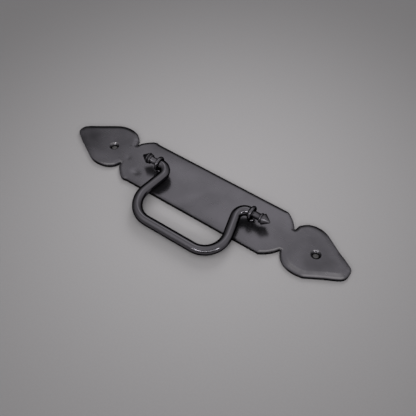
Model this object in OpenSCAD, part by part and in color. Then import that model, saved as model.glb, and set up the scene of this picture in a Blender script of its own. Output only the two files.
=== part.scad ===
// Drop bail pull on a long backplate with a spade at each end.
// Millimetres. The back of the plate lies in z = 0 with its middle at the origin,
// X runs along the plate, and +Z points out of the face that the bail stands on.

/* [Backplate] */
// Overall length, tip to tip
plate_l = 202; // [190:1:230]
// Width across the parallel middle part
plate_w = 35.6; // [30:0.2:42]
// Thickness of the plate
plate_t = 2.5; // [2:0.1:4]
// Length of the parallel middle part, corner to corner
middle_l = 100.8; // [90:0.2:110]
// Distance from one neck to the other
neck_span = 120; // [114:1:126]
// Width of the plate at each neck
neck_w = 17; // [12:0.5:22]
// Radius of the shoulder that curves into each neck
shoulder_r = 24.6; // [16:0.2:60]
// Width across the two lobes of a spade
spade_w = 36; // [30:0.2:40]
// Radius of each lobe
lobe_r = 13.9; // [11:0.1:15]
// Width of the blunt tip
tip_w = 9.4; // [6.4:0.2:12]
// Radius of the tip's two corners
tip_r = 3; // [1.5:0.1:3.2]
// How far both tips lean towards the near side
tip_lean = 0.9; // [0:0.1:1.6]
// Width of the rounding along the front edge
edge_w = 1.3; // [0.3:0.1:1.4]
// Height of the same rounding
edge_h = 1.1; // [0.3:0.1:1.2]

/* [Screw holes] */
// Distance of the left hole from the plate's middle
left_hole_x = 72.3; // [68:0.1:84]
// Distance of the right hole from the plate's middle
right_hole_x = 79.1; // [68:0.1:84]
// Diameter of the hole for the screw's shank
screw_d = 3.6; // [2.8:0.1:5]
// Diameter of the countersink at the face
countersink_d = 6.4; // [5.6:0.1:8]

/* [Posts] */
// Distance between the middles of the two eyes
post_span = 69.2; // [66:0.2:76]
// Height of the pivot line above the plate's face
pivot_h = 6.5; // [6:0.1:10]
// Diameter of the round eye
eye_d = 9.4; // [8:0.1:11]
// Thickness of the eye along the pivot line
eye_t = 2.4; // [1.8:0.1:3.2]
// Diameter of the stem under the eye
stem_d = 4.6; // [4:0.1:6]
// Diameter of the shank that goes through the plate
shank_d = 3.6; // [2.8:0.1:3.8]
// Diameter of the shank's riveted end at the back
rivet_d = 5.4; // [4.6:0.1:6]
// Depth of the riveted end
rivet_t = 0.9; // [0.6:0.1:1.2]

/* [Bail] */
// Diameter of the round rod
rod_d = 6.5; // [5.6:0.1:7.5]
// Distance from the pivot line to the middle of the bar
drop = 37.3; // [34:0.1:50]
// Distance between the middles of the legs where the loop is widest
loop_w = 62; // [58:0.5:70]
// Radius of the two lower corners, at the middle of the rod
corner_r = 14; // [8:0.5:18]
// Radius of the bend at each end, at the middle of the rod
end_bend_r = 5.6; // [4.5:0.1:6.2]
// Straight length of full rod behind each shoulder
end_straight = 0.3; // [0.3:0.1:1]
// Diameter of the pivot that turns in the eye
pivot_d = 4.2; // [3.6:0.1:4.8]
// Diameter of the tenon that holds the finial
tenon_d = 3; // [2:0.1:3.4]
// Length of the tenon
tenon_l = 4.5; // [3:0.1:5.5]

/* [Finials] */
// Diameter of the neck
neck_d = 4.5; // [4.4:0.1:5.8]
// Length of the neck
neck_l = 4.3; // [3:0.1:6]
// Diameter of the bead
bead_d = 6.4; // [6:0.1:7.4]
// Length of the bead
bead_l = 1.4; // [1:0.1:2]
// Diameter at the bottom of the groove behind the point
groove_d = 5.2; // [4.4:0.1:5.6]
// Width of the groove
groove_l = 0.5; // [0.3:0.1:0.8]
// Largest diameter of the point
point_d = 7.4; // [7:0.1:9]
// Length of the point
point_l = 5; // [4:0.1:7]
// Diameter of the point's blunt end
point_end_d = 0.9; // [0.5:0.1:1.5]

/* [Fits] */
// Clearance all round the pivot in its eye
pivot_play = 0.06; // [0.02:0.01:0.1]
// Gap on each side of the eye
side_play = 0.3; // [0.2:0.05:0.6]
// Gap between the bar and the surface behind the plate
rest_gap = 0.3; // [0.1:0.1:1]
// Clearance all round the post's shank in the plate
shank_play = 0.05; // [0.02:0.01:0.1]
// Clearance all round the tenon in the finial
tenon_play = 0.02; // [0.01:0.01:0.05]

/* [Hidden] */
$fn = 96;

// Colour of the dark finish
iron = [0.20, 0.20, 0.21];
// How far a cutting tool runs past the face that it cuts
over = 0.2;

// Lobes: each circle passes through the neck and reaches the spade's full width
lobe_y = spade_w / 2 - lobe_r;
lobe_x = neck_span / 2 + sqrt(pow(lobe_r, 2) - pow(neck_w / 2 - lobe_y, 2));

// Shoulder: an arc from the corner of the middle part to the neck
corner_pt = [middle_l / 2, plate_w / 2];
neck_pt = [neck_span / 2, neck_w / 2];
chord = neck_pt - corner_pt;
chord_n = [chord.y, -chord.x] / norm(chord);
shoulder_c = (corner_pt + neck_pt) / 2
    + chord_n * sqrt(pow(shoulder_r, 2) - pow(norm(chord) / 2, 2));

// Bending leaves the rod a hair thinner than its straight parts
bend_loss = 0.02;
bent_d = rod_d - bend_loss;

// The plate's edge breaks over at this share of the rounding's width and height
edge_break = 1 / 3;

// Rim of an eye: how far in the flat side ends, where the rim breaks over, and where it is widest
rim_flat = 0.9;
rim_break = 0.3;
rim_crown = 0.8;

// Small breaks at the corners of a finial's bead and point
turned_break = 0.4;

// Pivot line, and the places along it
pivot_z = plate_t + pivot_h;
eye_x = post_span / 2;
shoulder_x = eye_x - eye_t / 2 - side_play;
seat_x = eye_x + eye_t / 2 + side_play;
bore_l = tenon_l + side_play;
stem_h = pivot_h - rod_d / 2 - side_play;

// Bail: the leg is the straight line that touches the end bend and the lower corner
bend_x = shoulder_x - end_straight;
corner_x = loop_w / 2 - corner_r;
corner_v = drop - corner_r;
centres = [bend_x - corner_x, end_bend_r - corner_v];
lean = -atan2(centres.y, centres.x) - acos((corner_r + end_bend_r) / norm(centres));
leg_l = sqrt(pow(norm(centres), 2) - pow(corner_r + end_bend_r, 2));
rest_a = asin((pivot_z - rod_d / 2 - rest_gap) / drop);

// Draws its children at both ends of the plate
module both_ends() {
    children();
    mirror([1, 0, 0]) children();
}

// Draws its children on both long sides of the plate
module both_sides() {
    children();
    mirror([0, 1, 0]) children();
}

// Section of the plate's front edge, rounded over in two steps, with its side at x
function edge_section(x) = [
    [x, 0], [x, plate_t - edge_h],
    [x - edge_w * edge_break, plate_t - edge_h * edge_break], [x - edge_w, plate_t]
];

// Round piece of plate with the eased edge
module eased_disc(x, y, r) {
    translate([x, y, 0]) rotate_extrude()
        polygon(concat([[0, 0]], edge_section(r), [[0, plate_t]]));
}

// Straight piece of plate along X with both edges eased
module eased_strip(l, w) {
    side = edge_section(w / 2);
    rotate([90, 0, 90]) linear_extrude(l, center = true)
        polygon(concat(side, [for (i = [3:-1:0]) [-side[i].x, side[i].y]]));
}

// Middle part of the plate: a strip whose ends curve in past the necks
module middle_part() {
    eased_strip(middle_l, plate_w);
    both_ends() intersection() {
        eased_disc(shoulder_c.x, shoulder_c.y, shoulder_r);
        eased_disc(shoulder_c.x, -shoulder_c.y, shoulder_r);
        eased_strip(plate_l, plate_w);
    }
}

// Spade at one end of the plate: two lobes drawn out to a blunt leaf point
module spade() {
    hull() {
        both_sides() eased_disc(lobe_x, lobe_y, lobe_r);
        translate([0, -tip_lean, 0]) both_sides()
            eased_disc(plate_l / 2 - tip_r, tip_w / 2 - tip_r, tip_r);
    }
}

// Hole for one countersunk screw
module screw_hole(x) {
    sink = (countersink_d - screw_d) / 2;
    translate([x, 0, -over]) cylinder(h = plate_t + 2 * over, d = screw_d);
    translate([x, 0, plate_t - sink])
        cylinder(h = sink + over, d1 = screw_d, d2 = countersink_d + 2 * over);
}

// Hole that a post's shank fills, flared at the back for the riveted end
module shank_hole() {
    d = shank_d + 2 * shank_play;
    flare = (rivet_d - shank_d) / rivet_t;
    translate([0, 0, -over]) {
        cylinder(h = plate_t + 2 * over, d = d);
        cylinder(h = rivet_t + over, d1 = d + flare * (rivet_t + over), d2 = d);
    }
}

module backplate() {
    color(iron) difference() {
        union() {
            middle_part();
            both_ends() spade();
        }
        screw_hole(-left_hole_x);
        screw_hole(right_hole_x);
        both_ends() translate([eye_x, 0, 0]) shank_hole();
    }
}

// Eye with its rim eased in two steps, drawn about the pivot line
module eye() {
    r = eye_d / 2;
    half = eye_t / 2;
    rotate([0, 90, 0]) rotate_extrude() polygon([
        [0, -half], [r - rim_flat, -half], [r - rim_break, rim_break - half],
        [r, rim_crown - half], [r, half - rim_crown],
        [r - rim_break, half - rim_break], [r - rim_flat, half], [0, half]
    ]);
}

// Shank of a post, with its riveted end at the back
module shank() {
    cylinder(h = plate_t, d = shank_d);
    cylinder(h = rivet_t, d1 = rivet_d, d2 = shank_d);
}

// Stem that tapers into the eye, and stays clear of the rod and the finial
module stem() {
    taper_h = (stem_d - eye_t) / 2;
    translate([0, 0, plate_t]) cylinder(h = stem_h - taper_h, d = stem_d);
    translate([0, 0, plate_t + stem_h - taper_h]) cylinder(h = taper_h, d1 = stem_d, d2 = eye_t);
}

// One post: eye, stem and riveted shank, with a true bore for the pivot
module post(side) {
    color(iron) translate([side * eye_x, 0, 0]) difference() {
        union() {
            translate([0, 0, pivot_z]) eye();
            stem();
            shank();
        }
        translate([-eye_t, 0, pivot_z]) rotate([0, 90, 0])
            cylinder(h = 2 * eye_t, d = pivot_d + 2 * pivot_play);
    }
}

module left_post() {
    post(-1);
}

module right_post() {
    post(1);
}

// Rod bent to radius r, from angle a0 through sweep, with each end let into a straight part
module bent_rod(r, a0, sweep) {
    let_in = over / r * 180 / PI;
    rotate([0, 0, a0 - let_in]) rotate_extrude(angle = sweep + 2 * let_in)
        translate([r, 0]) circle(d = bent_d);
}

// Turned end of the rod: shoulder, pivot and tenon, from the end of the bend outwards
module rod_end() {
    pivot_l = seat_x - bend_x;
    translate([bend_x, 0, 0]) rotate([0, 90, 0]) rotate_extrude() polygon([
        [0, 0], [rod_d / 2, 0], [rod_d / 2, end_straight],
        [pivot_d / 2, end_straight], [pivot_d / 2, pivot_l],
        [tenon_d / 2, pivot_l], [tenon_d / 2, pivot_l + tenon_l], [0, pivot_l + tenon_l]
    ]);
}

// Right side of the bail, lying flat with the pivot line along X
module bail_side() {
    translate([corner_x, -corner_v, 0]) {
        bent_rod(corner_r, -90, 90 + lean);
        rotate([0, 0, lean]) translate([corner_r, 0, 0]) rotate([-90, 0, 0])
            cylinder(h = leg_l, d = rod_d);
    }
    translate([bend_x, -end_bend_r, 0]) bent_rod(end_bend_r, 90, 90 + lean);
    rod_end();
}

module bail() {
    color(iron) translate([0, 0, pivot_z]) rotate([rest_a, 0, 0]) {
        both_ends() bail_side();
        translate([-corner_x, -drop, 0]) rotate([0, 90, 0])
            cylinder(h = 2 * corner_x, d = rod_d);
    }
}

// Turned finial: neck, bead, groove and point, with a blind bore for the tenon
module finial(side) {
    bead_x = neck_l + bead_l;
    point_x = bead_x + groove_l;
    ease = turned_break;
    color(iron) translate([side * seat_x, 0, pivot_z]) rotate([0, side * 90, 0])
        difference() {
            rotate_extrude() polygon([
                [0, 0], [neck_d / 2, 0], [neck_d / 2, neck_l],
                [bead_d / 2 - ease, neck_l], [bead_d / 2, neck_l + ease],
                [bead_d / 2, bead_x - ease], [bead_d / 2 - ease, bead_x],
                [groove_d / 2, bead_x], [groove_d / 2, point_x],
                [point_d / 2 - ease, point_x], [point_d / 2, point_x + ease],
                [point_d / 2 - ease / 2, point_x + 2 * ease],
                [point_end_d / 2, point_x + point_l], [0, point_x + point_l]
            ]);
            translate([0, 0, -over]) cylinder(h = bore_l + over, d = tenon_d + 2 * tenon_play);
        }
}

module left_finial() {
    finial(-1);
}

module right_finial() {
    finial(1);
}

backplate();
left_post();
right_post();
bail();
left_finial();
right_finial();
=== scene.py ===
# %% [markdown]
# This file dresses a drop bail pull: a long flat backplate with a leaf-shaped spade at each end,
# two riveted posts, and a bent round bail whose turned ends carry pointed finials. The packed
# solids are the fixed frame. They come in first.

# %% Load the imported pull
import math

import bmesh
import bpy
import numpy as np
from mathutils import Matrix


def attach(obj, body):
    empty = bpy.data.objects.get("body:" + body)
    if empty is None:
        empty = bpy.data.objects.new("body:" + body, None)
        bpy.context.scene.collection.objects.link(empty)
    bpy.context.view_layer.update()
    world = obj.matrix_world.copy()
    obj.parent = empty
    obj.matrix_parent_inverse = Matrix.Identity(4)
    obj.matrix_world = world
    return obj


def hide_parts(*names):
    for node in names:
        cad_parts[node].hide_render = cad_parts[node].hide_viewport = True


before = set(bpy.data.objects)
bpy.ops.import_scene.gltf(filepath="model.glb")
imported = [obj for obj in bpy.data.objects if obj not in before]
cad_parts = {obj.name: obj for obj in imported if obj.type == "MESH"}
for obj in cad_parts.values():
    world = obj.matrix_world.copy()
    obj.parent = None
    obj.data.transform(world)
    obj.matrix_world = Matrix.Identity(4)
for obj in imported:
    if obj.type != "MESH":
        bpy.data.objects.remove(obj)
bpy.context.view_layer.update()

# %% [markdown]
# The shapes are worked out in millimetres, as a maker would draw them, and are only turned into
# metres when a mesh is made. They could be measured from the solids each time. Here they are named
# once, with the part's own sizes, so that each new piece lies where its solid lies.

# %% Sizes of the pull, in millimetres
MM = 0.001
PLATE = dict(length=202.0, width=35.6, thick=2.5, middle=100.8, neck_span=120.0, neck=17.0,
             shoulder_r=24.6, spade=36.0, lobe_r=13.9, tip=9.4, tip_r=3.0, tip_lean=0.9,
             ease_w=1.3, ease_h=1.1)
HOLES = dict(left=72.3, right=79.1, bore=3.6, sink=6.4)
POST = dict(x=34.6, pivot_z=9.0, eye=9.4, thick=2.4, stem=4.6, shank=3.6, rivet=5.4,
            rivet_h=0.9, bore=4.32)
BAIL = dict(rod=6.5, drop=37.3, loop=62.0, corner_r=14.0, bend_r=5.6, straight=0.3, pivot=4.2,
            tenon=3.0, tenon_l=4.5, side_play=0.3, rest_gap=0.3)
FINIAL = dict(neck=4.5, neck_l=4.3, bead=6.4, bead_l=1.4, groove=5.2, groove_l=0.5, point=7.4,
              point_l=5.0, tip=0.9)

lobe_y = PLATE["spade"] / 2 - PLATE["lobe_r"]
lobe_x = (PLATE["neck_span"] / 2
          + math.sqrt(PLATE["lobe_r"] ** 2 - (PLATE["neck"] / 2 - lobe_y) ** 2))
shoulder_x = POST["x"] - POST["thick"] / 2 - BAIL["side_play"]
seat_x = POST["x"] + POST["thick"] / 2 + BAIL["side_play"]
rest_angle = math.asin((POST["pivot_z"] - BAIL["rod"] / 2 - BAIL["rest_gap"]) / BAIL["drop"])
print(f"bail rests {math.degrees(rest_angle):.2f} degrees under the pivot line")

# %% [markdown]
# Every piece here is a grid of points: one direction runs along the piece and the other round it.
# Such pieces could be modelled by hand with extrudes and spins, but a grid keeps the formula of
# each shape in sight. One helper turns grids into a closed mesh: it makes all four-sided faces at
# once from the grid's numbering, so no loop runs over points, and merges the points that meet.


# %% Turn grids of points into meshes
WELD = 1e-6  # points closer than this, in metres, are one point


def grid_faces(rows, cols, wrap_rows, wrap_cols):
    """Faces of a grid: point (i, j) is number i * cols + j, and each face joins (i, j),
    (i, j + 1), (i + 1, j + 1) and (i + 1, j), counted round where the grid closes on itself."""
    i = np.arange(rows if wrap_rows else rows - 1)[:, None]
    j = np.arange(cols if wrap_cols else cols - 1)[None, :]
    i2, j2 = (i + 1) % rows, (j + 1) % cols
    corners = [i * cols + j, i * cols + j2, i2 * cols + j2, i2 * cols + j]
    return np.stack(np.broadcast_arrays(*corners), -1).reshape(-1, 4)


def ringed(points, mask=0.0, closed=False):
    """A grid whose rows are rings, with its faces and its edge mask. Closed, its last row joins
    its first."""
    return points, grid_faces(*points.shape[:2], closed, True), mask


def build_mesh(name, grids):
    """Joins grids of (points, faces, edge mask) into one mesh, in metres, merges the points that
    meet, drops faces that have closed to nothing, and turns every face outwards."""
    points = np.concatenate([g[0].reshape(-1, 3) for g in grids]) * MM
    starts = np.cumsum([0] + [g[0].reshape(-1, 3).shape[0] for g in grids[:-1]])
    faces = np.concatenate([g[1] + s for g, s in zip(grids, starts)])
    mask = np.concatenate([np.broadcast_to(g[2], g[0].shape[:-1]).ravel() for g in grids])
    mesh = bpy.data.meshes.new(name)
    mesh.from_pydata(points.tolist(), [], faces.tolist())
    edge = mesh.attributes.new("edge", "FLOAT", "POINT")
    edge.data.foreach_set("value", mask.astype(np.float32))
    work = bmesh.new()
    work.from_mesh(mesh)
    bmesh.ops.remove_doubles(work, verts=work.verts, dist=WELD)
    bmesh.ops.dissolve_degenerate(work, edges=work.edges, dist=WELD / 2)
    bmesh.ops.recalc_face_normals(work, faces=work.faces)
    loose = sum(1 for e in work.edges if not e.is_manifold)
    volume = work.calc_volume(signed=True)
    if volume < 0:
        bmesh.ops.reverse_faces(work, faces=work.faces)
    work.to_mesh(mesh)
    work.free()
    mesh.shade_smooth()
    print(f"{name}: {len(mesh.vertices)} points, {len(mesh.polygons)} faces, "
          f"{loose} open edges, {abs(volume) * 1e9:.1f} mm3")
    return mesh


# %% Let a mesh stand for its solid
def put_in_scene(name, data):
    """A new object in the scene, at the origin."""
    made = bpy.data.objects.new(name, data)
    bpy.context.scene.collection.objects.link(made)
    return made


def dress(name, mesh, body, node, material):
    """Makes a piece of a mesh that stands for a CAD node, and lets it ride on its body."""
    piece = put_in_scene(name, mesh)
    mesh.materials.clear()
    mesh.materials.append(material)
    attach(piece, body)
    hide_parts(node)


# %% [markdown]
# A material is a tree of nodes, and each node could be made and linked line by line. A few small
# helpers keep the trees readable: one feeds an input with a value or with another node's output,
# one makes a node with all its inputs, and the others do sums, noise and mixes of colours.


# %% Helpers for shader nodes
def feed(tree, value, target):
    """Links another node's output into an input, or sets the input to a plain value."""
    if isinstance(value, bpy.types.NodeSocket):
        tree.links.new(value, target)
    else:
        target.default_value = value


def add_node(tree, kind, inputs, **settings):
    """A new node: its settings are set first, then its inputs, named by their names or numbers."""
    made = tree.nodes.new("ShaderNode" + kind)
    for name, value in settings.items():
        setattr(made, name, value)
    for name, value in inputs.items():
        feed(tree, value, made.inputs[name])
    return made


def maths(tree, operation, *values, clamp=False):
    """The output of a Math node. MULTIPLY_ADD of a, b, c is a * b + c. Clamped, it stays in 0
    to 1."""
    inputs = dict(enumerate(values))
    return add_node(tree, "Math", inputs, operation=operation, use_clamp=clamp).outputs["Value"]


def noise(tree, vector, scale, detail):
    """A cloud of values round 0.5, with about scale lumps to the metre."""
    inputs = {"Vector": vector, "Scale": scale, "Detail": detail}
    return add_node(tree, "TexNoise", inputs).outputs["Fac"]


def mixed(tree, first, second, share):
    """The colour that goes from first to second as share goes from 0 to 1."""
    inputs = {"Factor": share, "A": first, "B": second}
    return add_node(tree, "Mix", inputs, data_type="RGBA").outputs["Result"]


def scaled(tree, colour, factor):
    """A colour times a number."""
    inputs = {0: colour, "Scale": factor}
    return add_node(tree, "VectorMath", inputs, operation="SCALE").outputs["Vector"]


# %% [markdown]
# Iron with a satin near-black finish looks like this for three reasons: a dark metallic skin, a
# soft uneven gloss, and edges that are rubbed light where hands reach them. Painted highlights
# make some rims lighter too, and painted shade makes some edges, walls and undersides black.
# Every piece has all three, so they could be painted or copied into each material.
# Here they are one node group, and each material sets the amounts. These cells fill the group step
# by step, starting with its inputs and outputs.

# %% The shared finish: what goes in and what comes out
# The second colour is both rubbed wear and painted highlight; the third is painted shade.
FINISH_COLOURS = {"Iron": (0.154, 0.148, 0.164, 1), "Rub and glint": (0.32, 0.31, 0.32, 1),
                  "Shade black": (0.022, 0.021, 0.023, 1)}
# The amount for wear also sets how strong the painted highlights are.
FINISH_AMOUNTS = {"Gloss": 0.35, "Cloud size": 60.0, "Cloud": 0.10, "Peel size": 900.0,
                  "Scuffs": 0.3, "Wear": 0.4, "Mottle": 0.14}

iron_finish = bpy.data.node_groups.new("iron_finish", "ShaderNodeTree")
for kind, table in (("Color", FINISH_COLOURS), ("Float", FINISH_AMOUNTS)):
    for name, value in table.items():
        socket = iron_finish.interface.new_socket(name, in_out="INPUT",
                                                  socket_type="NodeSocket" + kind)
        socket.default_value = value
for name, kind in (("Color", "Color"), ("Roughness", "Float"), ("Height", "Float")):
    iron_finish.interface.new_socket(name, in_out="OUTPUT", socket_type="NodeSocket" + kind)
given = iron_finish.nodes.new("NodeGroupInput").outputs
result = iron_finish.nodes.new("NodeGroupOutput").inputs
on_iron = iron_finish.nodes.new("ShaderNodeTexCoord").outputs["Object"]
print("iron_finish takes", len(FINISH_COLOURS), "colours and", len(FINISH_AMOUNTS), "amounts")

# %% [markdown]
# Brushed-on finish dries in clouds a centimetre or two wide, with a fine orange peel over them.
# Both are noise in the piece's own coordinates, so they stay on it when it moves. Scuffs are a
# third noise, stretched along one direction and kept only where it is strongest.

# %% Cloud, orange peel and scuffs
STREAK_TURN, STREAK_STRETCH, STREAK_SIZE = (0.2, 0.3, 0.7), (0.25, 2.4, 1.0), 420.0
SCUFF_FROM, SCUFF_FULL = 0.60, 0.74

cloud = noise(iron_finish, on_iron, given["Cloud size"], detail=3.0)
peel = noise(iron_finish, on_iron, given["Peel size"], detail=2.0)
stretched = add_node(iron_finish, "Mapping", {"Vector": on_iron, "Rotation": STREAK_TURN,
                                              "Scale": STREAK_STRETCH}).outputs["Vector"]
streaks = noise(iron_finish, stretched, STREAK_SIZE, detail=5.0)
strongest = add_node(iron_finish, "MapRange", {"Value": streaks, "From Min": SCUFF_FROM,
                                               "From Max": SCUFF_FULL}).outputs["Result"]
scuffs = maths(iron_finish, "MULTIPLY", strongest, given["Scuffs"])
print("with its noises the group has", len(iron_finish.nodes), "nodes")

# %% [markdown]
# Where the finish is rubbed, or painted light or black, is stored with each mesh, as one value per
# point called edge: above nothing it is rubbed light and painted highlight, broken up by the
# cloud, and below nothing it is painted shade, black. A second value makes whole areas a little
# lighter
# or darker: partly uneven tone, partly painted shade. The wear could be found by a shader that
# looks for corners, but the real pull is rubbed only on some sides.

# %% Colour of the finish
# Rubbed light and painted highlights both follow this rule.
BREAK_UP = (1.6, -0.35)  # rubbed light is edge * (1.6 * cloud - 0.35), held in 0 to 1
SCUFF_LIGHT = 0.35

edge = add_node(iron_finish, "Attribute", {}, attribute_name="edge").outputs["Fac"]
broken = maths(iron_finish, "MULTIPLY_ADD", cloud, *BREAK_UP)
# Rubbed wear and painted highlights, from edge values above nothing.
rub_and_glint = maths(iron_finish, "MULTIPLY", maths(iron_finish, "MULTIPLY", edge, broken, clamp=True),
               given["Wear"])
worn_and_glint = maths(iron_finish, "MAXIMUM", rub_and_glint, maths(iron_finish, "MULTIPLY", scuffs, SCUFF_LIGHT))
# Painted shade: edge values below nothing turn the colour black.
black = maths(iron_finish, "MULTIPLY", edge, -1.0, clamp=True)
colour = mixed(iron_finish, given["Iron"], given["Rub and glint"], worn_and_glint)
colour = mixed(iron_finish, colour, given["Shade black"], black)

unevenness = maths(iron_finish, "SUBTRACT", cloud, 0.5)
mottle = maths(iron_finish, "MULTIPLY_ADD", unevenness, given["Mottle"], 1.0)
# The second value adds uneven tone and painted shade over whole areas.
tone_and_shade = add_node(iron_finish, "Attribute", {}, attribute_name="tone_and_shade").outputs["Fac"]
feed(iron_finish, scaled(iron_finish, colour, maths(iron_finish, "ADD", mottle, tone_and_shade)),
     result["Color"])
print("with its colour the group has", len(iron_finish.nodes), "nodes")

# %% Gloss and relief of the finish
SCUFF_MATT, SCUFF_DEPTH, PEEL_DEPTH = 0.12, -0.15, 0.2

gloss = maths(iron_finish, "MULTIPLY_ADD", unevenness, given["Cloud"], given["Gloss"])
feed(iron_finish, maths(iron_finish, "MULTIPLY_ADD", scuffs, SCUFF_MATT, gloss, clamp=True),
     result["Roughness"])
relief = maths(iron_finish, "MULTIPLY_ADD", peel, PEEL_DEPTH, cloud)
feed(iron_finish, maths(iron_finish, "MULTIPLY_ADD", scuffs, SCUFF_DEPTH, relief),
     result["Height"])
print("iron_finish group:", len(iron_finish.nodes), "nodes")

# %% [markdown]
# Four finishes share the group. The plate is the dullest and most mottled and a little matt, the
# rod is the glossiest, and the posts and the turned finials lie between. Round pieces are painted
# dark along their outline, as shade where the surface turns away from the view. A clear coat over
# the metal could do that too. Darkening the colour there is simpler, and it has to stand in the
# material itself.


# %% A finish for the plate, the rod, the posts and the finials
EDGE_TINT = (0.10, 0.10, 0.11, 1)
OUTLINE_FROM, OUTLINE_FULL = 0.10, 0.55  # Layer Weight values between which the outline darkens


def new_material(name):
    """A material, its node tree and its Principled shader."""
    material = bpy.data.materials.new(name)
    material.use_nodes = True
    return material, material.node_tree, material.node_tree.nodes["Principled BSDF"]


def iron_material(name, outline=0.0, metal=1.0, bump=0.02, **amounts):
    """Iron with the shared finish: outline is how much darker, as painted shade, it gets where it
    turns away from the view, bump the depth of its relief in mm, and amounts go to the group's
    inputs of those names."""
    material, tree, shader = new_material(name)
    shader.inputs["Metallic"].default_value = metal
    shader.inputs["Specular Tint"].default_value = EDGE_TINT
    finish = tree.nodes.new("ShaderNodeGroup")
    finish.node_tree = iron_finish
    for key, value in amounts.items():
        finish.inputs[key.replace("_", " ")].default_value = value
    # Painted shade: the colour darkens along the outline, where the surface turns away from view.
    turned = add_node(tree, "LayerWeight", {"Blend": 0.5}).outputs["Facing"]
    outline_darkening = add_node(tree, "MapRange",
                     {"Value": turned, "From Min": OUTLINE_FROM, "From Max": OUTLINE_FULL,
                      "To Min": 1.0, "To Max": 1.0 - outline},
                     interpolation_type="SMOOTHSTEP").outputs["Result"]
    bumpy = add_node(tree, "Bump", {"Strength": 1.0, "Distance": bump * MM,
                                    "Height": finish.outputs["Height"]})
    feed(tree, scaled(tree, finish.outputs["Color"], outline_darkening), shader.inputs["Base Color"])
    feed(tree, finish.outputs["Roughness"], shader.inputs["Roughness"])
    feed(tree, bumpy.outputs["Normal"], shader.inputs["Normal"])
    return material


plate_iron = iron_material("plate_iron", metal=0.92, Gloss=0.26, Mottle=1.1, Cloud=0.25, Wear=0.8)
bail_iron = iron_material("bail_iron", outline=0.65, bump=0.012, Gloss=0.15, Cloud_size=120.0)
post_iron = iron_material("post_iron", outline=0.6, bump=0.01, Gloss=0.19, Cloud_size=200.0)
finial_iron = iron_material("finial_iron", outline=0.6, bump=0.01, Gloss=0.32, Cloud_size=200.0)
print("iron finishes:", [m.name for m in (plate_iron, bail_iron, post_iron, finial_iron)])

# %% [markdown]
# The backplate is cut from flat sheet. Its outline could be traced as a curve. Here it is drawn as
# a smith would lay it out with compasses, one side of the plate at a time, from the right tip to
# the left tip: a blunt tip, a straight side, the lobe's arc, the neck, the shoulder's arc and the
# long straight edge.


# %% Helpers for lines: arcs, straights, normals and ramps
def arc(centre, radius, a0, a1, step):
    """Points centre + radius * (cos a, sin a), a from a0 to a1 in radians, about step mm apart."""
    count = max(3, int(abs(a1 - a0) * radius / step) + 1)
    a = np.linspace(a0, a1, count)
    return np.array(centre) + radius * np.stack([np.cos(a), np.sin(a)], 1)


def straight(start, end, step):
    """Points start + t (end - start) for t from 0 to 1, about step mm apart."""
    count = max(2, int(np.hypot(*(end - start)) / step))
    return start + (end - start) * np.linspace(0, 1, count)[:, None]


def spacing(line):
    """Distances between neighbouring points of a line."""
    return np.hypot(*np.diff(line, axis=0).T)


def unit(rows):
    """Each row of an array, made one long."""
    return rows / np.linalg.norm(rows, axis=1)[:, None]


def outward(tangents):
    """The outward normals of a line that runs anticlockwise: its tangents turned by -90 degrees,
    one long."""
    t = unit(tangents)
    return np.stack([t[:, 1], -t[:, 0]], 1)


def ramp(value, start, full):
    """0 up to start, 1 from full on, and a straight line between them."""
    return np.clip((value - start) / (full - start), 0, 1)


# %% Draw one side of the plate
def far_outline(p, step=0.45):
    """The side with y > 0, x falling from the right tip to the left tip. A lobe is a circle
    through the neck that reaches the spade's width, and the straight side touches it."""
    tip_c = np.array([p["length"] / 2 - p["tip_r"], p["tip"] / 2 - p["tip_r"]])
    lobe_c = np.array([lobe_x, lobe_y])
    corner = np.array([p["middle"] / 2, p["width"] / 2])
    neck = np.array([p["neck_span"] / 2, p["neck"] / 2])
    d = tip_c - lobe_c
    side = math.atan2(d[1], d[0]) + math.acos((p["lobe_r"] - p["tip_r"]) / np.hypot(*d))
    u = np.array([math.cos(side), math.sin(side)])
    chord = neck - corner
    bow = math.sqrt(p["shoulder_r"] ** 2 - np.hypot(*chord) ** 2 / 4)
    c = (corner + neck) / 2 + np.array([chord[1], -chord[0]]) / np.hypot(*chord) * bow
    right = np.concatenate([
        straight(np.array([p["length"] / 2, 0.0]), np.array([p["length"] / 2, tip_c[1]]), step),
        arc(tip_c, p["tip_r"], 0, side, step * 0.6),
        straight(tip_c + p["tip_r"] * u, lobe_c + p["lobe_r"] * u, step),
        arc(lobe_c, p["lobe_r"], side, math.atan2(*(neck - lobe_c)[::-1]), step),
        arc(c, p["shoulder_r"], *(math.atan2(*(end - c)[::-1]) for end in (neck, corner)), step),
        straight(corner, np.array([0.0, p["width"] / 2]), step)])
    right = right[np.r_[True, spacing(right) > 1e-6]]
    left = right[-2::-1] * [-1, 1]
    return np.concatenate([right, left])


def soften(line, radius, step=0.4):
    """Rounds the corners of an open line: it is sampled every step mm, and each point becomes the
    weighted mean of a window radius mm wide. Past its ends the line goes on mirrored in y = 0."""
    s = np.r_[0, np.cumsum(spacing(line))]
    t = np.linspace(0, s[-1], int(s[-1] / step) // 2 * 2 + 1)
    even = np.stack([np.interp(t, s, line[:, k]) for k in (0, 1)], 1)
    half = max(1, int(radius / step / 2))
    window = np.hanning(2 * half + 3)[1:-1]
    window /= window.sum()
    padded = np.concatenate([even[half:0:-1] * [1, -1], even, even[-2:-half - 2:-1] * [1, -1]])
    return np.stack([np.convolve(padded[:, k], window, "valid") for k in (0, 1)], 1)


# The left tip is a full round nose; the right one keeps a short straight end between its corners.
CORNER_R, NOSE_R = 1.1, 4.6
drawn = soften(far_outline(PLATE), CORNER_R)
round_nosed = soften(far_outline({**PLATE, "tip_r": NOSE_R}), CORNER_R)
even_side = np.concatenate([drawn[drawn[:, 0] > 0.1], round_nosed[round_nosed[:, 0] < 0.1]])
print(f"one side of the plate: {len(even_side)} points, {spacing(even_side).sum():.1f} mm long")

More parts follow.
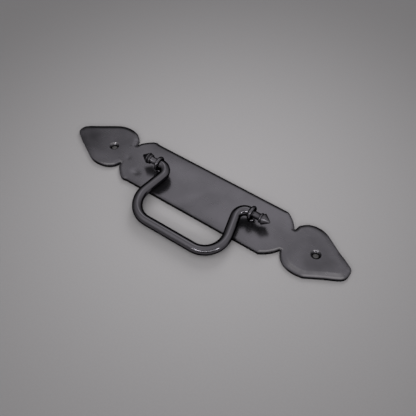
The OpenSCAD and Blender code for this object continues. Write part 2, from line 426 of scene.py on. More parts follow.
# %% [markdown]
# The drawn plate is even, and the real one was cut by hand: its spades sit a little to one side
# and its curves stray by up to a millimetre or so. The outline could be traced point by point. It
# is kept as the drawing with a short table of strays, because the drawing explains the shape and
# the table shows how far the hand went from it. Between the necks both sides stray alike.


# %% Cut it out by hand
HAND_CUT = np.array([  # x, and how far outside the drawing the far and the near side lie, in mm
    [-101.0, 0.2, 0.2], [-99.8, 0.8, -0.5], [-97.0, 1.3, -0.6], [-94.0, 1.2, -0.4],
    [-91.0, 1.1, -0.6], [-83.0, 1.0, -0.9], [-80.0, 0.8, -1.0], [-76.0, 0.5, -1.0],
    [-72.0, 0.5, -0.9], [-69.0, 0.7, -0.7], [-66.5, 0.9, -0.3], [-62.1, 0.8, 0.3],
    [-60.5, 0.0, 0.0], [-58.5, 0.8, 0.8], [-52.0, 0.9, 0.9], [-48.0, 0.0, 0.0], [60.5, 0.0, 0.0],
    [61.6, 0.9, 0.0], [65.9, 0.8, 0.0], [71.6, 0.0, 0.0], [76.7, -0.4, 0.2], [80.0, -0.5, 0.8],
    [90.0, -0.4, 0.9], [95.1, 0.2, 1.2], [98.5, 0.3, 1.2], [101.0, 0.3, 0.3]])


def cut_by_hand(line, strays):
    """Moves each point of an open line outwards, at a right angle to the line, by the stray that
    belongs to its x, read off evenly between the listed places."""
    stray = np.interp(line[:, 0], HAND_CUT[:, 0], strays)
    return line + outward(np.gradient(line, axis=0)) * stray[:, None]


def lean(line):
    """Moves points towards the near side: by nothing up to the lobes' middles, growing evenly to
    the full lean at the tips, as each spade was drawn out a little to one side."""
    share = ramp(np.abs(line[:, 0]), lobe_x, PLATE["length"] / 2 - PLATE["tip_r"])
    return line - np.stack([np.zeros(len(line)), PLATE["tip_lean"] * share], 1)


far_side = lean(cut_by_hand(even_side, HAND_CUT[:, 1]))
near_side = lean(cut_by_hand(even_side, HAND_CUT[:, 2]) * [1, -1])
loop = np.concatenate([far_side, near_side[-2:0:-1]])
print(f"outline: {len(loop)} points, {np.ptp(loop[:, 0]):.2f} by {np.ptp(loop[:, 1]):.2f} mm")


# %% [markdown]
# The front face is not quite flat. A soft border falls along the outline, steeper where the right
# spade's near side was hammered, a few shallow knocks dent it, and it waves very slightly, which
# gives its reflections their slow drift. It could be sculpted, or faked with a bump map. One
# function of the place makes real geometry, and every part of the mesh agrees on it.


# %% Knocks, border and wave
KNOCKS = np.array([  # x, y, long radius, short radius, turn in degrees, depth: all in mm
    [-46.2, -10.0, 2.8, 1.9, 0.0, 0.28],
    [-58.0, -2.9, 1.6, 1.4, 0.0, 0.10],
    [-62.4, 12.2, 1.6, 1.3, 30.0, 0.10],
    [-1.2, -2.3, 5.0, 2.6, 60.0, 0.09],
    [8.7, -0.3, 4.0, 2.2, 40.0, 0.06]])
BORDER = dict(middle_w=2.2, spade_w=3.6, hammered_w=4.6, slope=0.05, hammered_slope=0.15,
              blend=0.35, spade_x=(57, 63), hammered_x=(62, 68), hammered_y=(1, -3))
WAVE, SINK = 0.05, 0.08


def distance_to_loop(points, line):
    """Distance to the closed line, and the number of the nearest piece. On a straight piece a-b
    the nearest point is a + t(b - a), t = ((p - a).(b - a)) / |b - a|^2 held between 0 and 1."""
    a, b = line, np.roll(line, -1, 0)
    d = b - a
    best, which = [], []
    for part in np.array_split(points, max(1, len(points) // 1500)):
        t = np.clip(((part[:, None] - a) * d).sum(-1) / (d * d).sum(-1), 0, 1)
        away = np.linalg.norm(part[:, None] - a - t[..., None] * d, axis=-1)
        best.append(away.min(1))
        which.append(away.argmin(1))
    return np.concatenate(best), np.concatenate(which)


def spots(x, y, table):
    """Sum over a table of oval spots of amount * exp(-(u / r1)^2 - (v / r2)^2), with u and v the
    distances from the spot's middle along and across it."""
    total = np.zeros(len(x))
    for sx, sy, r1, r2, turn, amount in table:
        c, s = math.cos(math.radians(turn)), math.sin(math.radians(turn))
        u, v = (x - sx) * c + (y - sy) * s, (y - sy) * c - (x - sx) * s
        total += amount * np.exp(-(u / r1) ** 2 - (v / r2) ** 2)
    return total


# %% Height of the front face
def front_height(xy):
    """Height of the front face: thickness, less a border that falls at an even slope within w mm
    of the outline (its inner line blended as u^2 / 4b for u < 2b, u = w - distance), steeper on
    the right spade's near side, less each knock, plus a slow wave of three sines."""
    x, y = xy[:, 0], xy[:, 1]
    b = BORDER
    on_spade = ramp(np.abs(x), *b["spade_x"])
    hammered = ramp(x, *b["hammered_x"]) * ramp(y, *b["hammered_y"])
    width = b["middle_w"] + (b["spade_w"] - b["middle_w"]) * on_spade
    width = width + (b["hammered_w"] - b["spade_w"]) * hammered
    slope = b["slope"] + (b["hammered_slope"] - b["slope"]) * hammered
    u = np.clip(width - distance_to_loop(xy, loop)[0], 0, None)
    fall = slope * np.where(u < 2 * b["blend"], u * u / (4 * b["blend"]), u - b["blend"])
    wave = WAVE * (np.sin(x / 5.1 + 0.7) * np.sin(y / 4.3) + np.sin(x / 9.7 + y / 7.9))
    return PLATE["thick"] - fall + wave - SINK - spots(x, y, KNOCKS)


print("front face at the middle:", round(float(front_height(np.zeros((1, 2)))[0]), 3), "mm high")


# %% [markdown]
# The sides that face the far left get a band of painted shade inside their edge, and those that
# face the near right get a wall of painted shade, with a painted highlight on the rim above it.
# The hammered border is rubbed light and carries a painted sheen. So these marks depend on which
# way the outline faces, and a mask worked out from the outline's normals puts them there. It
# could be painted by hand, but a rule holds on every side of the plate.


# %% Where the plate is rubbed, or painted with highlight or shade
FAR_LEFT, NEAR_RIGHT = (-0.57, 0.82), (0.57, -0.82)
# Painted shade on far-left edges and near-right walls, and a painted highlight on near-right rims.
SHADED_EDGE, SHADED_WALL = (FAR_LEFT, 0.35, 0.7), (NEAR_RIGHT, 0.45, 0.75)
GLINT_RIM = (NEAR_RIGHT, 0.88, 0.97)
loop_normals = outward(np.roll(loop, -1, 0) - np.roll(loop, 1, 0))


def facing(normals, way, start, full):
    """0 to 1: how far n . way has grown from start to full, for outward normals n."""
    return ramp(normals @ np.array(way), start, full)


def tip_fade(x):
    """1, falling to 0.3 at the left tip, where the edge's painted shade is weaker."""
    return np.clip((x + 101) / 5, 0.3, 1)


def rub_glint_and_shade(xy):
    """The edge mask on the face. Above nothing: the hammered border on the right spade's near
    side, lighter with wear and a painted sheen, and, three times as strong, a painted highlight on
    a narrow rim that faces the near right. Below nothing: painted shade in a band inside the edges
    that face the far left, wider on the left spade. Nothing elsewhere."""
    x, y = xy[:, 0], xy[:, 1]
    d, nearest = distance_to_loop(xy, loop)
    normals = loop_normals[nearest]
    hammered, rim = BORDER["hammered_w"], PLATE["ease_w"]
    # The hammered border: rubbed light with a painted sheen.
    light = ramp(x, 66, 70) * ramp(y, -1, -5) * ramp(d, hammered - 0.1, hammered - 0.6)
    painted_glint = facing(normals, *GLINT_RIM) * ramp(d, rim + 0.5, rim + 0.1)
    band = rim + 1.1 + 0.6 * ramp(x, -66, -72)
    painted_shade = facing(normals, *SHADED_EDGE) * tip_fade(x) * ramp(d, band, band - 0.7)
    return 0.95 * light + 3 * painted_glint - 0.9 * painted_shade


# %% [markdown]
# A plate with holes could be cut with booleans, which leave long thin triangles that catch the
# light badly. Here the face is laid out in patches that share their border points instead: ribs
# cross the middle part, and round each hole the points run from the border straight to the hole's
# circle.


# %% Rows of points from a border to a hole, and ribs across the plate
RIBS = 61


def to_hole(border, centre, radius, rows, lead=1.1):
    """Rows of points from a closed border to a circle: each border point b goes straight to the
    circle's point at the same angle, p = c + (b - c) * (1 - s) + radius * s * unit(b - c), with s
    growing faster at first so that rows crowd near the hole."""
    v = border - centre
    s = 1 - (1 - np.linspace(0, 1, rows)) ** lead
    return centre + v[None] * (1 - s)[:, None, None] + unit(v)[None] * (radius * s)[:, None, None]


def across(count):
    """Places across the plate from 1 to -1, closer at both edges: (s + sin(pi s / 2)) / 2."""
    s = np.linspace(1, -1, count)
    return (s + np.sin(math.pi / 2 * s)) / 2


def rib(top):
    """Points straight across the plate from (x, y) to (x, -y)."""
    return np.stack([np.full(RIBS, top[0]), top[1] * across(RIBS)], 1)


# %% Patches of the plate's faces
def patches(border, holes, rows):
    """Splits the face inside a border loop into spades, strips and squares round the post holes.
    The border has the outline's numbering; holes has a centre x and a radius for each. Gives grids
    of flat points, and for a hole its centre: the last row of such a grid is the hole's circle."""
    half = len(far_side)
    far, near = border[:half], np.r_[border[:1], border[:half - 2:-1]]
    cut = lambda x: int(np.argmin(np.abs(far_side[:, 0] - x)))
    neck, px, square = PLATE["neck_span"] / 2, POST["x"], 8
    out = []
    for hx, radius in holes:
        if hx > neck:
            k = cut(neck)
            edge = np.concatenate([near[k:0:-1], far[:k + 1], rib(far[k])[1:-1]])
        elif hx < -neck:
            k = cut(-neck)
            edge = np.concatenate([far[k:], near[-2:k:-1], rib(far[k])[::-1][:-1]])
        else:
            a, b = cut(hx + square), cut(hx - square)
            edge = np.concatenate([far[a:b], rib(far[b])[:-1], near[b:a:-1],
                                   rib(far[a])[::-1][:-1]])
        out.append((to_hole(edge, np.array([hx, 0.0]), radius, rows), hx))
    for x0, x1 in ((neck, px + square), (px - square, square - px), (-px - square, -neck)):
        a, b = cut(x0), cut(x1)
        strip = far[a:b + 1][:, None, :] * np.stack([np.ones(RIBS), across(RIBS)], 1)[None]
        out.append((strip, None))
    return out


def face_grids(border, holes, rows, height, mask):
    """Grids over one face inside its border loop, and the ring of points round each hole."""
    grids, rings = [], {}
    for flat, hole_x in patches(border, holes, rows):
        at = flat.reshape(-1, 2)
        z, wear_and_light_mask = (values(at).reshape(flat.shape[:2]) for values in (height, mask))
        faces = grid_faces(*z.shape, False, hole_x is not None)
        grids.append((np.dstack([flat, z]), faces, wear_and_light_mask))
        if hole_x is not None:
            rings[hole_x] = np.c_[flat[-1], z[-1]]
    return grids, rings


# %% [markdown]
# The plate's wall stands up from a small break at the back, and a quarter turn leads from it to
# the front face. A Bevel modifier could round it. Rows of points round the outline do the same,
# keep the rounding 1.3 mm wide and 1.1 mm deep as on the solid, and carry the wear, painted
# highlight and painted shade from row to row.


# %% The rim
def rim_grid():
    """Four rows up the wall, z given, then nine with inset w (1 - cos t) and height going from the
    wall's top to the front face's own height as sin t, for t from 0 to a quarter turn. The mask
    blends columns of values by which way the outline faces, near right, far left or to a side:
    painted shade on the walls and the far-left rows, a little wear on the top rows, and a
    painted highlight on the rim that faces the near right."""
    out = loop_normals
    t = np.linspace(0, math.pi / 2, 9)
    inset = np.r_[0.18, 0.05, 0.0, 0.0, PLATE["ease_w"] * (1 - np.cos(t))]
    wall = np.r_[0.0, 0.05, 0.18, 0.9]
    band = loop[None] - inset[:, None, None] * out[None]
    top = front_height(band[4:].reshape(-1, 2)).reshape(len(t), -1)
    rise = np.sin(t)[:, None]
    z = np.concatenate([np.broadcast_to(wall[:, None], (4, len(loop))),
                        (PLATE["thick"] - PLATE["ease_h"]) * (1 - rise) + top * rise])
    # Painted shade on the wall rows and the far-left rows, a little wear on the top rows, and a
    # painted highlight on the rim rows.
    near_mask = np.r_[-np.ones(7), -0.95, -0.7, -0.2, 0.1, 0.2, 0.2][:, None]
    side_mask = np.r_[-0.35 * np.ones(4), -0.25, -0.1, np.zeros(7)][:, None]
    rim_glint_rows = np.r_[np.zeros(9), 0.6, 2, 3, 3][:, None]
    far_share = facing(out, *SHADED_EDGE) * tip_fade(loop[:, 0])
    near_share = facing(out, *SHADED_WALL)
    mask = near_mask * near_share - far_share + side_mask * (1 - far_share - near_share)
    mask = mask + rim_glint_rows * facing(out, *GLINT_RIM)
    return ringed(np.dstack([band, z]), mask)


# %% [markdown]
# Each spade has one countersunk screw hole: a cone, then a bore. The cone has a painted highlight
# on the side that the light reaches and painted shade on the other, and the bore is painted black
# as shade. The post holes are filled by the shanks, so they only need a wall. All are lofts
# between the ring of points on the front face and the ring on the back, which closes the plate
# without a seam.


# %% Walls of the holes
def hole_wall(hx, front_ring, back_ring):
    """Wall of a hole from the front ring to the back ring, row by row: the direction from the axis
    goes over evenly from the front points' to the back points', and the radius at each height is
    that of the countersink's cone, the bore, or the shank's hole with its flare at the back. The
    left hole's cone has a painted highlight three times as strong as the right one's."""
    thick, centre = PLATE["thick"], np.array([hx, 0.0])
    if abs(hx) > PLATE["neck_span"] / 2:
        r1, r0 = HOLES["sink"] / 2, HOLES["bore"] / 2
        cone = thick - (r1 - r0)
        radii = np.r_[r1 - 0.04, r1 - 0.12, r0 + 0.05, r0, r0]
        level = np.r_[thick - 0.10, thick - 0.20, cone, cone - 0.08, 0.1]
        # Painted shade: the bore's rows are black; the cone's top rows are a little rubbed.
        mask = np.r_[0.2, 0.15, 0, -0.9, -1, -1, -1]
        painted_glint, painted_shade = 3.0 if hx < 0 else 1.0, 1.0
    else:
        radii = np.r_[1, 1] * (POST["shank"] / 2 + 0.05)
        level = np.r_[thick - 0.3, POST["rivet_h"]]
        mask = np.zeros(4)
        painted_glint, painted_shade = 0.0, 0.0
    front_way, back_way = unit(front_ring[:, :2] - centre), unit(back_ring[:, :2] - centre)
    rows = [front_ring]
    for r, z, t in zip(radii, level, np.linspace(0, 1, len(radii) + 2)[1:-1]):
        way = unit((1 - t) * front_way + t * back_way)
        rows.append(np.c_[centre + way * r, np.full(len(front_ring), z)])
    # Painted highlight on the cone's far-left side, painted shade on its near-right side.
    upper = (np.arange(len(mask)) < 3)[:, None]
    mask = mask[:, None] + upper * painted_glint * facing(front_way, FAR_LEFT, 0.1, 0.8)
    mask = mask - upper * painted_shade * facing(front_way, NEAR_RIGHT, 0.1, 0.7)
    return ringed(np.stack(rows + [back_ring]), mask)


# %% [markdown]
# Now the plate is put together: the rim, the two faces and the walls of the four holes. On the
# back the post holes open to the width of the flush riveted ends. Last, large soft patches where
# the finish is a little lighter or darker are stored, listed like the knocks: some are uneven
# tone, and some are painted shade, on the spades and beside the right post.


# %% Build the backplate
TONE_AND_SHADE_PATCHES = np.array([  # x, y, long radius, short radius in mm, turn in degrees, lighter or darker
    # Painted shade: these two darken the left spade, for its darker reflections.
    [-92.0, 2.0, 14.0, 12.0, 0.0, -0.24],
    [-80.0, -3.0, 14.0, 11.0, 0.0, -0.15],
    [-60.0, -4.0, 7.0, 6.0, 0.0, -0.10],
    [-30.0, 16.5, 42.0, 4.0, 0.0, -0.26],
    [-28.0, 6.0, 9.0, 5.0, 0.0, 0.14],
    [4.0, -7.0, 12.0, 6.0, 50.0, -0.18],
    [22.0, -16.5, 32.0, 4.5, 0.0, -0.20],
    [38.0, 11.0, 11.0, 6.0, 0.0, 0.18],
    # Painted shadow beside the right post.
    [33.0, -5.0, 9.0, 5.0, 0.0, -0.30],
    [60.0, -5.0, 12.0, 10.0, 0.0, -0.18],
    # Painted shade: this darkens the right spade, for its darker reflections.
    [84.0, -1.0, 20.0, 14.0, 0.0, -0.15]])
FRONT_ROWS, BACK_ROWS = 28, 4


def hole_list(screw_r, post_r):
    """The four holes as (centre x, radius): both screw holes, then both post holes."""
    return [(HOLES["right"], screw_r), (-HOLES["left"], screw_r), (POST["x"], post_r),
            (-POST["x"], post_r)]


def backplate_mesh():
    """The rim, both faces inside its first and last rows, and the walls between their holes."""
    rim = rim_grid()
    flat = lambda at: np.zeros(len(at))
    front, front_rings = face_grids(
        rim[0][-1, :, :2], hole_list(HOLES["sink"] / 2 + 0.12, POST["shank"] / 2 + 0.05),
        FRONT_ROWS, front_height, rub_glint_and_shade)
    back, back_rings = face_grids(
        rim[0][0, :, :2], hole_list(HOLES["bore"] / 2 + 0.1, POST["rivet"] / 2 + 0.05),
        BACK_ROWS, flat, flat)
    walls = [hole_wall(x, front_rings[x], back_rings[x]) for x in front_rings]
    return build_mesh("backplate", [rim] + front + back + walls)


def add_tone_and_shade(mesh):
    """Stores the sum of the patches of tone and painted shade at each point, as the value that the
    finish reads.
    """
    points = np.empty(len(mesh.vertices) * 3, np.float32)
    mesh.vertices.foreach_get("co", points)
    x, y = points.reshape(-1, 3)[:, 0] / MM, points.reshape(-1, 3)[:, 1] / MM
    total = spots(x, y, TONE_AND_SHADE_PATCHES).astype(np.float32)
    mesh.attributes.new("tone_and_shade", "FLOAT", "POINT").data.foreach_set("value", total)
    print(f"smudges from {total.min():.2f} to {total.max():.2f}")


plate_mesh = backplate_mesh()
add_tone_and_shade(plate_mesh)
dress("backplate_pressed", plate_mesh, "plate", "backplate", plate_iron)

# %% [markdown]
# The bail is one round rod. Its middle line lies in one plane: a straight bar, a wide corner, a
# leg that leans inwards, a tight bend outwards and a turned end on the pivot line. It could be a
# bevelled curve. A circle carried along a line that is worked out from its curvature lets the
# radius change on the way, which gives the shoulder, the pivot and the tenon.


# %% The bail's middle line
def bail_line(b, step=0.02):
    """Half the middle line in the bail's plane, from the middle of the bar to the tenon's end: the
    way along s, the place (u, v) with u along the pivot line and v below it, the heading, the
    curvature and the ends of its five parts. The heading is the sum of curvature * step, and the
    place is the sum of (cos, -sin) of the heading at the middle of each step."""
    corner_u, corner_v = b["loop"] / 2 - b["corner_r"], b["drop"] - b["corner_r"]
    bend_u = shoulder_x - b["straight"]
    gap = np.array([bend_u - corner_u, b["bend_r"] - corner_v])
    lean = -math.atan2(gap[1], gap[0]) - math.acos((b["corner_r"] + b["bend_r"]) / np.hypot(*gap))
    leg = math.sqrt(gap @ gap - (b["corner_r"] + b["bend_r"]) ** 2)
    turn = math.pi / 2 + lean
    ends = np.cumsum([corner_u, b["corner_r"] * turn, leg, b["bend_r"] * turn,
                      seat_x - bend_u + b["tenon_l"]])
    bends = np.array([0, 1 / b["corner_r"], 0, -1 / b["bend_r"], 0])
    s = np.arange(0, ends[-1] + step / 2, step)
    k = bends[np.minimum(np.searchsorted(ends, s, side="right"), 4)]
    heading = np.r_[0, np.cumsum(k[:-1] * step)]
    halfway = heading[:-1] + k[:-1] * step / 2
    u = np.r_[0, np.cumsum(np.cos(halfway) * step)]
    v = b["drop"] - np.r_[0, np.cumsum(np.sin(halfway) * step)]
    print(f"legs lean {math.degrees(lean):.2f} degrees and are {leg:.2f} mm straight, "
          f"and the line ends at u = {u[-1]:.3f}, v = {v[-1]:.3f} mm")
    return s, u, v, heading, k, ends


# %% [markdown]
# Bending a rod over a former flattens it a touch, so the circle is a little narrower in the bends.
# The underside of the bar and its corners is painted black, as shade. Only half of the bail is
# worked out, and the other half is its mirror, because both ends were made alike.


# %% Build the bail
ROUND, FLATTEN = 64, 0.12
# Angles round the rod between which its underside is painted black, as shade.
UNDER_SHADE_FROM, UNDER_SHADE_TO, UNDER_SHADE_SOFT = math.radians(150), math.radians(270), 0.3


def bail_stations(ends):
    """Places along half the bail and the rod's radius there: even steps in each bend, then close
    ones where the end is turned down, first to the pivot and then to the tenon."""
    b = BAIL
    face, seat = ends[3] + b["straight"], ends[3] + seat_x - (shoulder_x - b["straight"])
    r, rp, rt = b["rod"] / 2, b["pivot"] / 2, b["tenon"] / 2
    rod = np.unique(np.r_[
        np.linspace(0, ends[0], 14), np.linspace(ends[0], ends[1], 44),
        np.linspace(ends[1], ends[2], 16), np.linspace(ends[2], ends[3], 26), face - 0.25])
    turned = np.array([
        [face - 0.15, r - 0.02], [face - 0.06, r - 0.09], [face, r - 0.22],
        [face + 0.02, rp + 0.1], [face + 0.05, rp], [seat - 0.1, rp], [seat, rp - 0.08],
        [seat, rt], [ends[4] - 0.3, rt], [ends[4], rt - 0.25], [ends[4], 0.0]])
    return np.r_[rod, turned[:, 0]], np.r_[np.full(len(rod), r), turned[:, 1]]


def bail_mesh():
    """Circle of radius r carried along the middle line: a point at angle a lies r cos a out in the
    bail's plane and r sin a across it, and the plane is tilted by the angle at rest."""
    s, u, v, heading, k, ends = bail_line(BAIL)
    stations, radius = bail_stations(ends)
    us, vs, hs = (np.interp(stations, s, values)[:, None] for values in (u, v, heading))
    bent = np.interp(stations, s, np.convolve(np.abs(k), np.ones(200) / 200, "same"))
    a = np.linspace(0, 2 * np.pi, ROUND, endpoint=False)
    flat = 1 - FLATTEN * np.clip(bent, 0, 0.12)[:, None] * np.cos(2 * a)[None]
    in_plane = radius[:, None] * flat * np.cos(a)[None]
    sideways = radius[:, None] * flat * np.sin(a)[None]
    along = us - in_plane * np.sin(hs)
    below = vs - in_plane * np.cos(hs)
    y = -below * math.cos(rest_angle) - sideways * math.sin(rest_angle)
    z = POST["pivot_z"] - below * math.sin(rest_angle) + sideways * math.cos(rest_angle)
    right = np.dstack([along, y, z])
    grid = np.concatenate([(right[1:] * [-1, 1, 1])[::-1], right])
    # Painted shade: black under the bar and its corners, fading out up the legs.
    underside_shade = (ramp(a, UNDER_SHADE_FROM, UNDER_SHADE_FROM + UNDER_SHADE_SOFT)
             * ramp(a, UNDER_SHADE_TO, UNDER_SHADE_TO - UNDER_SHADE_SOFT))
    scale = -0.9 * np.clip(1.3 * np.cos(hs) - 0.3, 0, 1) * underside_shade[None]
    mask = np.concatenate([scale[:0:-1], scale])
    return build_mesh("bail", [ringed(grid, mask)])


dress("bail_bent", bail_mesh(), "bail", "bail", bail_iron)

# %% [markdown]
# The finials were turned on a lathe, so each is a profile spun about the pivot line. A Screw
# modifier could spin it, but then the pole at the point would have to be closed by hand. Lathe
# work has no knife edges, so the profile's corners are cut back twice, up to a set length, which
# leaves small soft breaks.


# %% Spin a profile about the pivot line
SPIN = 96


def ease(profile, reach):
    """Cuts each inner corner of a line twice: the point p gives way to a point on each side of it,
    as far from p as the smaller of reach and a third of that side, and reach is halved."""
    for _ in range(2):
        p, sides = profile[1:-1], (profile[:-2] - profile[1:-1], profile[2:] - profile[1:-1])
        cuts = [p + unit(side) * np.minimum(reach, np.linalg.norm(side, axis=1)[:, None] / 3)
                for side in sides]
        profile = np.concatenate([profile[:1], np.stack(cuts, 1).reshape(-1, 2), profile[-1:]])
        reach = reach / 2
    return profile


def spin_x(profile, x0, side):
    """Surface (x, r) -> (x0 + side * x, r cos a, pivot + r sin a) for a full turn of a."""
    a = np.linspace(0, 2 * np.pi, SPIN, endpoint=False)
    x = np.broadcast_to((x0 + side * profile[:, :1]), (len(profile), SPIN))
    r = profile[:, 1:]
    return np.dstack([x, r * np.cos(a)[None], POST["pivot_z"] + r * np.sin(a)[None]])


# %% Build the finials
def finial_mesh(name, side):
    """A finial's skin: the closed bore for the tenon, then neck, bead, groove and point."""
    f = FINIAL
    neck, bead = f["neck_l"], f["neck_l"] + f["bead_l"]
    groove = bead + f["groove_l"]
    outside = ease(np.array([
        [0, f["neck"] / 2 - 0.15], [0.15, f["neck"] / 2], [neck, f["neck"] / 2],
        [neck, f["bead"] / 2 - 0.35], [neck + 0.4, f["bead"] / 2], [bead - 0.4, f["bead"] / 2],
        [bead, f["bead"] / 2 - 0.4], [bead, f["groove"] / 2], [groove, f["groove"] / 2],
        [groove, f["point"] / 2 - 0.35], [groove + 0.35, f["point"] / 2],
        [groove + 0.9, f["point"] / 2 - 0.25], [groove + f["point_l"], f["tip"] / 2],
        [groove + f["point_l"], 0.0]]), 0.16)
    bore, deep = BAIL["tenon"] / 2 + 0.02, BAIL["tenon_l"] + BAIL["side_play"]
    inside = np.array([[deep, 0.0], [deep, bore], [0.1, bore], [0, bore + 0.1]])
    grid = spin_x(np.concatenate([inside, outside]), side * seat_x, side)
    return build_mesh(name, [ringed(grid)])


for name, side in (("left_finial", -1), ("right_finial", 1)):
    dress(name + "_turned", finial_mesh(name, side), "bail", name, finial_iron)

# %% [markdown]
# A post is a flat-sided eye on a short stem, forged in one. The eye is a ring spun about the pivot
# line, and the stem is spun about its own upright axis, down through the plate to the riveted end.
# Two closed grids could simply overlap. They are joined into one skin, so that no wall is left
# inside the post.


# %% Join two closed meshes
def union(name, first, second):
    """One closed mesh from two that overlap: the exact union is worked out on two helper objects,
    which are taken away again."""
    a, b = put_in_scene("helper_a", first), put_in_scene("helper_b", second)
    join = a.modifiers.new("join", "BOOLEAN")
    join.operation, join.solver, join.object = "UNION", "EXACT", b
    bpy.context.view_layer.update()
    finished = a.evaluated_get(bpy.context.evaluated_depsgraph_get())
    joined = bpy.data.meshes.new_from_object(finished)
    for helper in (a, b):
        bpy.data.objects.remove(helper)
    for part in (first, second):
        bpy.data.meshes.remove(part)
    joined.name = name
    joined.shade_smooth()
    print(f"{name}: {len(joined.vertices)} points, {len(joined.polygons)} faces")
    return joined


# %% Build the posts
def eye_mesh(name, side):
    """The eye: a ring profile with rounded outer edges, spun about the pivot line."""
    p = POST
    half, r, bore = p["thick"] / 2, p["eye"] / 2, p["bore"] / 2
    ring = ease(np.array([
        [-half, bore + 0.12], [-half, r - 0.9], [-half + 0.28, r - 0.3], [-half + 0.75, r],
        [half - 0.75, r], [half - 0.28, r - 0.3], [half, r - 0.9], [half, bore + 0.12],
        [half - 0.12, bore], [-half + 0.12, bore], [-half, bore + 0.12]]), 0.25)[:-1]
    grid = spin_x(ring, side * p["x"], side)
    return build_mesh(name + "_eye", [ringed(grid, closed=True)])


def stem_mesh(name, side):
    """The stem: the profile (r, z) goes from the riveted end up the shank to the eye, and is spun
    about the post's upright axis as (x + r cos a, r sin a, z)."""
    p, t = POST, PLATE["thick"]
    top = p["pivot_z"] - p["eye"] / 2 + 0.75
    stem = np.array([
        [0.0, 0.0], [p["rivet"] / 2 - 0.1, 0.0], [p["rivet"] / 2, 0.08],
        [p["shank"] / 2, p["rivet_h"]], [p["shank"] / 2, t - 0.3], [p["stem"] / 2, t - 0.3],
        [p["stem"] / 2, t + 1.3], [p["stem"] / 2 - 0.35, top - 0.9], [p["thick"] / 2, top - 0.1],
        [p["thick"] / 2 - 0.2, top], [0.0, top]])
    a = np.linspace(0, 2 * np.pi, ROUND, endpoint=False)
    grid = np.dstack([side * p["x"] + stem[:, :1] * np.cos(a), stem[:, :1] * np.sin(a),
                      np.broadcast_to(stem[:, 1:], (len(stem), ROUND))])
    return build_mesh(name + "_stem", [ringed(grid)])


for name, side in (("left_post", -1), ("right_post", 1)):
    post = union(name, eye_mesh(name, side), stem_mesh(name, side))
    dress(name + "_forged", post, "plate", name, post_iron)

# %% [markdown]
# The pull lies on pale matt paper, which falls off in tone away from the light. Lamps could make
# that fall, but the dark plate would mirror them, so a pool of light is painted into the paper's
# colour, which fades with the distance from the pull. More light gets down through the screw holes
# here than on the real pull, so painted shade makes the strip of paper that lies under the
# plate's middle line darker.

# %% Floor
PAPER_DARK, PAPER_LIGHT = (0.422, 0.411, 0.417, 1), (0.454, 0.443, 0.450, 1)
# Painted pool of light: the paper's tone fades from this centre, over this reach, to this share.
POOL_CENTRE, POOL_REACH, POOL_EDGE = (0.0, 0.013, 0.0), 0.254, 0.50
# Painted shade: the paper under the plate's middle strip is darkened to this tone.
UNDER_PLATE_SHADE = dict(X=0.095, Y=0.005, tone=0.35)

floor_paper, paper, shader = new_material("floor_paper")
shader.inputs["Roughness"].default_value = 0.8
shader.inputs["Specular IOR Level"].default_value = 0.25
on_floor = paper.nodes.new("ShaderNodeTexCoord").outputs["Object"]
grain = noise(paper, on_floor, 900.0, detail=3.0)
tone = mixed(paper, PAPER_DARK, PAPER_LIGHT, grain)
# Painted pool of light: the paper darkens with the distance from the pull.
away = add_node(paper, "VectorMath", {0: on_floor, 1: POOL_CENTRE}, operation="DISTANCE")
fall = add_node(paper, "MapRange", {"Value": away.outputs["Value"], "From Max": POOL_REACH,
                                    "To Min": 1.0, "To Max": POOL_EDGE},
                interpolation_type="SMOOTHSTEP").outputs["Result"]
axes = add_node(paper, "SeparateXYZ", {0: on_floor}).outputs
# Painted shade on the paper under the plate's middle strip.
covered = [maths(paper, "LESS_THAN", maths(paper, "ABSOLUTE", axes[axis]), UNDER_PLATE_SHADE[axis])
           for axis in "XY"]
hole_shade = maths(paper, "MULTIPLY_ADD", maths(paper, "MULTIPLY", *covered),
            UNDER_PLATE_SHADE["tone"] - 1, 1.0)
feed(paper, scaled(paper, tone, maths(paper, "MULTIPLY", hole_shade, fall)), shader.inputs["Base Color"])

floor_mesh = bpy.data.meshes.new("floor")
floor_mesh.from_pydata([(-2, -2, 0), (2, -2, 0), (2, 2, 0), (-2, 2, 0)], [], [(0, 1, 2, 3)])
floor_mesh.materials.append(floor_paper)
floor = put_in_scene("floor", floor_mesh)
print("floor 4 m wide, paper tone falling off over", POOL_REACH, "m")

# %% [markdown]
# Metal shows its surroundings, so each lamp here is also a shape that the pull mirrors. Two large
# soft boxes light the paper and throw the soft shadows, one in front and one behind, and are
# hidden from reflections. A long low strip and two small lamps do the opposite job: they draw the
# streaks on the rod and the sparks on the eyes. Each lamp's power follows from the brightness that
# it should have in a reflection.


# %% Lamps
def direction(azimuth, elevation):
    """Unit vector that points to a place in the room: azimuth from +Y towards +X, in degrees."""
    a, e = math.radians(azimuth), math.radians(elevation)
    return np.array([math.sin(a) * math.cos(e), math.cos(a) * math.cos(e), math.sin(e)])


def aim(thing, azimuth, elevation, distance, target=(0, 0, 0), roll=0.0):
    """Puts a lamp or camera at target + distance * direction and lets it look back at the target.
    The columns of its matrix are its own right, up and back, and its place. Right is level before
    the roll, in degrees, turns right and up round back."""
    back = direction(azimuth, elevation)
    level = np.cross([0, 0, 1.0], back)
    level /= np.linalg.norm(level)
    up = np.cross(back, level)
    c, s = math.cos(math.radians(roll)), math.sin(math.radians(roll))
    pose = np.eye(4)
    pose[:3] = np.stack([c * level + s * up, c * up - s * level, back,
                         target + back * distance], 1)
    thing.matrix_world = Matrix(pose.tolist())


def soft_box(name, azimuth, elevation, distance, width, height, radiance, mirrored=True):
    """A flat lamp that faces the pull. Its power is radiance * pi * area."""
    light = bpy.data.lights.new(name, "AREA")
    light.shape = "RECTANGLE"
    light.size, light.size_y = width, height
    light.energy = radiance * math.pi * width * height
    box = put_in_scene(name, light)
    aim(box, azimuth, elevation, distance)
    box.visible_camera, box.visible_glossy = False, mirrored
    print(f"{name}: {light.energy:.2f} W")


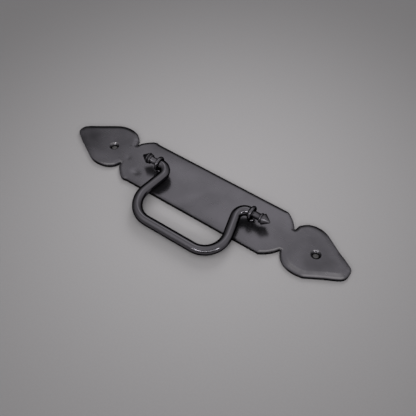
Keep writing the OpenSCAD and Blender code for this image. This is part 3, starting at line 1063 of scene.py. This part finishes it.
soft_box("right_glint", 115, 21, 0.9, 0.10, 0.05, radiance=24)
soft_box("front_glint", 183, 34, 0.9, 0.36, 0.05, radiance=11)
soft_box("front_box", 150, 60, 0.50, 0.30, 0.30, radiance=1.5, mirrored=False)
soft_box("strip_light", 148, 28, 0.9, 1.15, 0.05, radiance=6)
soft_box("rear_box", -15, 31, 1.5, 0.60, 0.60, radiance=7, mirrored=False)

# %% [markdown]
# The room round the pull is a grey tent. It could be an image of a studio, but a few soft glows in
# the world light are enough: each is a power of the cosine of the angle to its own direction.
# Light glows behind give the plate its sheen, and dark ones low down and to the left keep its
# edges black.

# %% The room
TENT_TONE = 0.22
GLOWS = [  # azimuth, elevation, focus, strength
    (0, 90, 1.5, 0.30), (-34, 53, 60, 0.90), (5, 74, 60, 0.50), (-60, 35, 12, -0.25),
    (-150, 54, 12, 0.30), (80, 15, 3, 0.20), (140, 5, 5, -0.22), (-35, 6, 5, -0.22)]

world = bpy.data.worlds.new("tent")
world.use_nodes = True
tent = world.node_tree
looked_in = tent.nodes.new("ShaderNodeTexCoord").outputs["Generated"]
total = TENT_TONE
for azimuth, elevation, focus, strength in GLOWS:
    dot = add_node(tent, "VectorMath", {0: looked_in, 1: direction(azimuth, elevation)},
                   operation="DOT_PRODUCT").outputs["Value"]
    lobe = maths(tent, "POWER", maths(tent, "MAXIMUM", dot, 0.0), focus)
    total = maths(tent, "MULTIPLY_ADD", lobe, strength, total)
sky = tent.nodes["Background"]
sky.inputs["Color"].default_value = (1.0, 0.99, 1.0, 1)
feed(tent, maths(tent, "MAXIMUM", total, 0.0), sky.inputs["Strength"])
bpy.context.scene.world = world
bpy.context.scene.view_settings.view_transform = "Standard"
print("tent with", len(GLOWS), "glows")

# %% [markdown]
# The camera was worked out from the plate's outline in the photograph: 55 mm on a 36 mm sensor,
# 393 mm from the pull, 53.6 degrees above the floor and 34.8 degrees round to the right, and
# rolled by half a degree. A constraint could aim it, but the lamps' helper does it too, and keeps
# the roll.

# %% Camera
TO_THE_RIGHT, ELEVATION, ROLL = 34.8, 53.6, -0.56
TARGET, DISTANCE = (0.00706, -0.00614, 0.0), 0.3934
FOCAL_PX, PICTURE_PX, SENSOR = 635.6, 416, 36

lens = bpy.data.cameras.new("camera")
lens.sensor_width = SENSOR
lens.lens = FOCAL_PX / PICTURE_PX * SENSOR
camera = put_in_scene("camera", lens)
aim(camera, 180 - TO_THE_RIGHT, ELEVATION, DISTANCE, TARGET, ROLL)
bpy.context.scene.camera = camera
print("camera at", [round(c, 4) for c in camera.matrix_world.translation])
